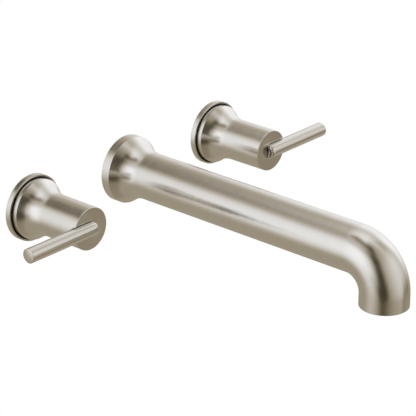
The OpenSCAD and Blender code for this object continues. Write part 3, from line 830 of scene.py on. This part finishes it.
def joined(name, *pieces):
    """Joins finished pieces into one mesh."""
    mesh = bmesh.new()
    for piece in pieces:
        mesh.from_mesh(piece.data)
    data = bpy.data.meshes.new(name)
    mesh.to_mesh(data)
    mesh.free()
    for material in pieces[0].data.materials:
        data.materials.append(material)
    for piece in pieces:
        bpy.data.objects.remove(piece)
    data.set_sharp_from_angle(angle=math.radians(38))
    made = bpy.data.objects.new(name, data)
    bpy.context.collection.objects.link(made)
    print(f"{name}: {len(data.polygons)} faces")
    return made


DOWN = Matrix.Translation((0, OUTLET_Y, 0)) @ Matrix.Rotation(math.radians(90), 4, "X")
COMB_MIDDLE, SCREEN_MIDDLE = -0.0289, -0.02635

# %% Mould the comb
cells = grown("cells", COMB, white_plastic, Matrix.Translation((0, OUTLET_Y, COMB_MIDDLE)),
              pitch=0.003, depth=0.0039, wall=0.00024, reach=0.0118, columns=11)
rim = rim_ring("rim", 13.5, 12.3, 26.9, 30.9, white_plastic, DOWN)
comb = joined("outlet_comb", rim, cells)
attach(comb, "fixed")
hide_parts("flow_straightener")

# %% Build the screen's tree
def screen_tree():
    tree, b, given = new_tree("screen", ("Pitch", "Float"), ("Wires", "Int"), ("Reach", "Float"),
                              ("Thickness", "Float"))
    pitch, thick, reach = given.also("Pitch"), given.also("Thickness"), given.also("Reach")
    wires, index = given.also("Wires"), b.node("GeometryNodeInputIndex")
    layers = []
    for turn in (0.0, math.pi / 2):
        places = b.node("GeometryNodeMeshLine", {"mode": "OFFSET"}, {"Count": wires, "Offset": (0, 0, 0)})
        y = (index - (wires - 1.0) / 2.0) * pitch
        spread = b.node("GeometryNodeSetPosition", None, {"Geometry": places, "Position": b.vector(0.0, y)})
        wire = b.node("GeometryNodeMeshLine", {"mode": "END_POINTS"}, {
            "Count": 49, "Start Location": (-1.0, 0, 0), "Offset": (1.0, 0, 0)})
        strung = b.node("GeometryNodeInstanceOnPoints", None, {"Points": spread, "Instance": wire})
        real = b.node("GeometryNodeRealizeInstances", None, {"Geometry": strung})
        at = b.node("ShaderNodeSeparateXYZ", None, {"Vector": b.node("GeometryNodeInputPosition")}, out="X")
        across = at.also("Y")
        half = b.math("SQRT", b.math("MAXIMUM", reach * reach - across * across, 1e-9))
        x = at * half
        parity = b.math("ROUND", across / pitch + 0.25)
        phase = (x / pitch + parity + (0.0 if turn == 0.0 else 1.0)) * math.pi
        wave = b.math("COSINE", phase) * thick * 0.55
        bent = b.node("GeometryNodeSetPosition", None,
                      {"Geometry": real, "Position": b.vector(x, across, wave)})
        line = b.node("GeometryNodeMeshToCurve", None, {"Mesh": bent})
        round_wire = b.node("GeometryNodeCurvePrimitiveCircle", {"mode": "RADIUS"},
                            {"Resolution": 8, "Radius": thick / 2.0})
        tube = b.node("GeometryNodeCurveToMesh", None,
                      {"Curve": line, "Profile Curve": round_wire, "Fill Caps": True})
        layers.append(b.node("GeometryNodeTransform", None, {"Geometry": tube, "Rotation": (0, 0, turn)}))
    both = b.tree.nodes.new("GeometryNodeJoinGeometry")
    for layer in layers:
        b.tree.links.new(layer.socket, both.inputs[0])
    end_tree(b, Field(b, both.outputs[0]), given)
    return tree


SCREEN = screen_tree()
print("inputs of the screen's tree:", [i.name for i in SCREEN.interface.items_tree if i.in_out == "INPUT"])

# %% Weave the screen
mesh_wires = grown("wires", SCREEN, steel["outlet"], Matrix.Translation((0, OUTLET_Y, SCREEN_MIDDLE)),
                   pitch=0.0011, wires=21, reach=0.0123, thickness=0.00024)
band = rim_ring("band", 13.5, 12.1, 26.1, 26.6, steel["outlet"], DOWN)
screen = joined("outlet_mesh", band, mesh_wires)
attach(screen, "fixed")
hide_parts("outlet_screen")

# %% [markdown]
# ## The cups on the wall
#
# Each handle stands in a shallow round cup that hides the hole in the wall. Its lip is
# a millimetre thick, and the light picks out its inner edge as a thin bright ring.
# The cup is turned from one profile: foot, lip, well, and the recess for the gasket.

# %% Turn the two cups
CUP = [(0, 10.4, 0), (0, 17, 0), (1.2, 17, 0), (1.2, 22.6, 0), (0, 22.6, 0), (0, 25.8, 0.2),
       (4.4, 25.8, 0.28), (4.4, 24.5, 0.2), (2.0, 24.5, 0.2), (2.0, 10.4, 0)]
cups = {}
for side, x in HANDLE_X.items():
    cups[side] = turned(f"{side}_cup", CUP, nickel_turned[side], place=Matrix.Translation((x, 0, 0)))
    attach(cups[side], "fixed")
    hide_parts(f"{side}_escutcheon")

# %% [markdown]
# ## The handle barrels
#
# The barrel is a round bar bored out from behind. Behind the barrel a concave flare
# widens into a straight rim that sits inside the cup with a thin dark gap. Across the
# flat face a half-round trough is milled from the centre outwards, and the lever lies in
# it. The miller's ball-nosed cutter leaves the round inner end.
#
# The trough is cut with a solid that is shaped like that cutter's path: a rounded
# section that turns half a circle about the axis and then runs straight out. Its upper
# edge widens a little, which breaks the trough's sharp edge.

# %% Turn a barrel and mill its trough
BARREL, FACE, RIM, RIM_BACK, RIM_FRONT = 16.4, 62.35, 23.4, 3.1, 8.8
HANDLE_CURVE, HANDLE_ANGLE = 27.0, 35.0
HANDLE_FLARE_END = flare_ends(RIM, RIM_FRONT, BARREL, HANDLE_CURVE, HANDLE_ANGLE)
TROUGH, LEVER_AXIS, EDGE = 5.9, 62.6, 1.1
BODY = [(FACE, 0, None), (FACE, BARREL, 0.4)]
BODY += [(s, BARREL, None) for s in stations(FACE - 1.2, HANDLE_FLARE_END, 3.0)]
BODY += flare(BARREL, HANDLE_FLARE_END, HANDLE_CURVE, HANDLE_ANGLE)[::-1]
BODY += [(RIM_FRONT, RIM, 0.12), (RIM_BACK, RIM, 0.2), (RIM_BACK, RIM - WALL, 0)]
BODY += [(RIM_FRONT - 0.8, RIM - WALL, 0)] + flare(BARREL, HANDLE_FLARE_END, HANDLE_CURVE, 34, WALL)
BODY += [(50, BARREL - WALL, 0), (50, 0, None)]


def trough_cutter(x, out, arc=28, around=48, reach=40.0):
    """The ball cutter's path, for a handle whose lever points to out (+1 or -1)."""
    low = math.asin((FACE - EDGE - LEVER_AXIS) / TROUGH)
    section = [(TROUGH * math.cos(a), LEVER_AXIS + TROUGH * math.sin(a))
               for a in (-math.pi / 2 + (low + math.pi / 2) * i / arc for i in range(1, arc + 1))]
    r0 = section[-1][0]
    section += [(r0 + EDGE * (1 - math.cos(t)), FACE - EDGE + EDGE * math.sin(t))
                for t in (math.pi / 2 * k / 7 for k in range(1, 8))]
    section += [(r0 + EDGE, FACE + 2)]
    mesh = bmesh.new()
    rows = []
    for r, z in section:
        spots = [(reach, -r)]
        spots += [(r * math.cos(a), r * math.sin(a))
                  for a in (math.pi * 1.5 - math.pi * k / around for k in range(around + 1))]
        spots += [(reach, r)]
        rows.append([mesh.verts.new(((x + out * p) / 1000, -z / 1000, q / 1000)) for p, q in spots])
    for low_row, high_row in zip(rows, rows[1:]):
        for k in range(len(low_row)):
            n = (k + 1) % len(low_row)
            mesh.faces.new((low_row[k], low_row[n], high_row[n], high_row[k]))
    mesh.faces.new(rows[-1])
    tip = [mesh.verts.new(((x + out * p) / 1000, -(LEVER_AXIS - TROUGH) / 1000, 0)) for p in (0, reach)]
    first = rows[0]
    for k in range(1, len(first) - 2):
        mesh.faces.new((first[k], first[k + 1], tip[0]))
    mesh.faces.new((first[0], first[1], tip[0], tip[1]))
    mesh.faces.new((first[-2], first[-1], tip[1], tip[0]))
    mesh.faces.new((first[-1], first[0], tip[1]))
    bmesh.ops.recalc_face_normals(mesh, faces=mesh.faces)
    data = bpy.data.meshes.new("ball_cutter")
    mesh.to_mesh(data)
    mesh.free()
    thing = bpy.data.objects.new("ball_cutter", data)
    bpy.context.collection.objects.link(thing)
    return thing


barrels = {}
for side, x in HANDLE_X.items():
    out, mm = (1 if x > 0 else -1), x * 1000
    barrel = turned(f"{side}_barrel", BODY, nickel_turned[side], closed=False,
                    place=Matrix.Translation((x, 0, 0)))
    spigot_x = mm + out * 6
    barrels[side] = cut(barrel, trough_cutter(mm, out),
                        pin("spigot_seat", 3.25, (spigot_x, -52, 0), (spigot_x, -62, 0)),
                        pin("screw_hole", 1.7, (spigot_x, -49, 0), (spigot_x, -57, 0)),
                        pin("key_hole", 2.05, (mm, -38, -9), (mm, -38, -30)))
    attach(barrels[side], f"{side}_handle")
    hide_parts(f"{side}_handle_body")

# %% [markdown]
# ## The levers
#
# A lever is a plain round rod with softly broken ends. A spigot under it goes through
# the barrel's face, and a screw from inside holds it. The rod is turned like the rest,
# laid along the wall, and joined with its spigot. Its tip is crowned by half a
# millimetre, so that the light slides across it, and its other end, which lies in the
# trough, is rounded more.

# %% Turn the lever rods
ROD, TAIL, TIP, SOFT, ROUND = 5.6, 3.6, 63.3, 0.6, 2.0
ROD_LINE = [(-TAIL, 0, None), (-TAIL, ROD, ROUND)]
ROD_LINE += [(s, ROD, None) for s in stations(-TAIL + 2.5, TIP - 1, 4.0)]
ROD_LINE += [(TIP - 0.45, ROD, SOFT)]
ROD_LINE += [(TIP - 0.45 * (r / ROD) ** 2, r, None) for r in (4.6, 4.0, 3.3, 2.5, 1.7, 0.9, 0.0)]
levers = {}
for side, x in HANDLE_X.items():
    out, mm = (1 if x > 0 else -1), x * 1000
    lie = Matrix.Translation((x, LEVER_Y, 0)) @ Matrix.Rotation(math.radians(90 * out), 4, "Z")
    rod = turned(f"{side}_rod", ROD_LINE, nickel_rod, closed=False, place=lie, sides=96, steps=6)
    spigot_x = mm + out * 6
    rod = cut(rod, pin("spigot", 3.2, (spigot_x, -52, 0), (spigot_x, -62.6, 0)), operation="UNION")
    levers[side] = cut(rod, pin("tapped_hole", 1.65, (spigot_x, -51, 0), (spigot_x, -61, 0)))
    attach(levers[side], f"{side}_handle")
    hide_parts(f"{side}_lever")

# %% [markdown]
